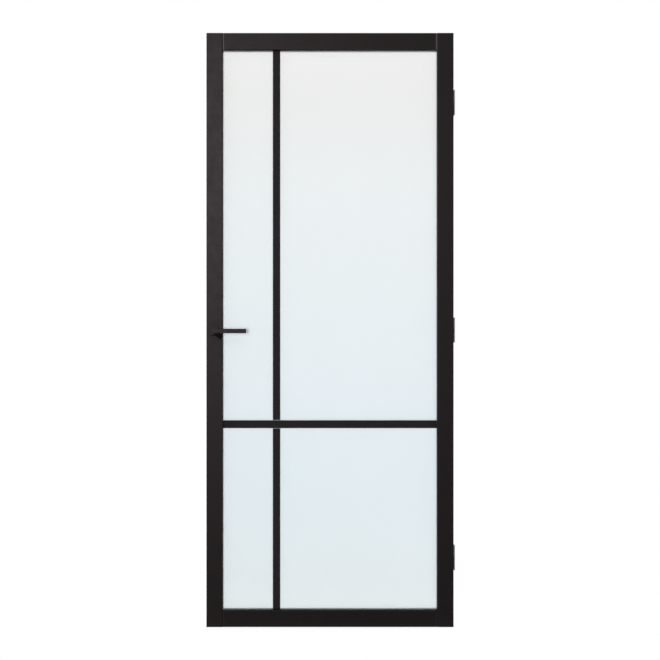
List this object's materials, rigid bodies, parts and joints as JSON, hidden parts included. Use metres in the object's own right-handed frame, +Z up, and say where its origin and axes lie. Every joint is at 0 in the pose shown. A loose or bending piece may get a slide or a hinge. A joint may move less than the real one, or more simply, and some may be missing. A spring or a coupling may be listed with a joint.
{
  "type": "glass door",
  "caption": "Glazed interior door leaf in a slim dark frame, with flat glazing bars on a satin pane, a square lever with a magnet latch, and lift-off hinges.",
  "frame": {"origin": "middle of the leaf's bottom edge, at mid thickness", "axes": "+X from the lock edge to the hinge edge, +Y from the front face to the back face, +Z up"},
  "size_m": [0.8855, 0.15, 2.115],
  "materials": {
    "frame_lacquer": "warm black satin lacquer",
    "pane_glass": "satin, pale blue grey",
    "gasket_rubber": "matt black",
    "block_plastic": "matt grey",
    "bar_coating": "black powder coat, satin",
    "bar_tape": "black foam tape",
    "handle_coating": "black powder coat, satin",
    "lock_steel": "zinc plated",
    "edge_steel": "satin stainless",
    "rose_nylon": "black nylon",
    "washer_brass": "turned"
  },
  "bodies": {
    "hinge_frame": {"lower_hinge_frame_flap": "edge_steel", "lower_hinge_pin": "lock_steel", "lower_hinge_washer": "washer_brass", "middle_hinge_frame_flap": "edge_steel", "middle_hinge_pin": "lock_steel", "middle_hinge_washer": "washer_brass", "upper_hinge_frame_flap": "edge_steel", "upper_hinge_pin": "lock_steel", "upper_hinge_washer": "washer_brass"},
    "leaf": {"lock_stile": "frame_lacquer", "hinge_stile": "frame_lacquer", "top_rail": "frame_lacquer", "bottom_rail": "frame_lacquer", "glass_pane": "pane_glass", "front_gasket": "gasket_rubber", "rear_gasket": "gasket_rubber", "setting_blocks": "block_plastic", "front_transom_bar": "bar_coating", "rear_transom_bar": "bar_coating", "front_upper_bar": "bar_coating", "rear_upper_bar": "bar_coating", "front_lower_bar": "bar_coating", "rear_lower_bar": "bar_coating", "front_bar_tapes": "bar_tape", "rear_bar_tapes": "bar_tape", "lock_case": "lock_steel", "lock_cover": "lock_steel", "lock_faceplate": "edge_steel", "latch_spring": "lock_steel", "follower_spring": "lock_steel", "front_rose_base": "rose_nylon", "rear_rose_base": "rose_nylon", "front_rose_cover": "handle_coating", "rear_rose_cover": "handle_coating", "lower_hinge_leaf_flap": "edge_steel", "middle_hinge_leaf_flap": "edge_steel", "upper_hinge_leaf_flap": "edge_steel"},
    "handle": {"front_lever": "handle_coating", "rear_lever": "handle_coating", "spindle": "lock_steel", "follower": "lock_steel"},
    "latch": {"latch_bolt": "edge_steel"}
  },
  "joints": [
    {"name": "door_swing", "type": "hinge", "parent": "hinge_frame", "child": "leaf", "pos_m": [0.43295, 0.02705, 0], "axis": [0, 0, -1], "range_deg": [0, 175]},
    {"name": "lever_turn", "type": "hinge", "parent": "leaf", "child": "handle", "pos_m": [-0.41, 0, 1.054], "axis": [0, 1, 0], "range_deg": [0, 40], "stiffness_Nm_per_rad": 0.9, "springref_deg": -34.38, "deforming": ["follower_spring"]},
    {"name": "latch_slide", "type": "slide", "parent": "leaf", "child": "latch", "axis": [1, 0, 0], "range_m": [-0.011, 0], "stiffness_N_per_m": 25, "springref_m": 0.004, "deforming": ["latch_spring"]}
  ]
}
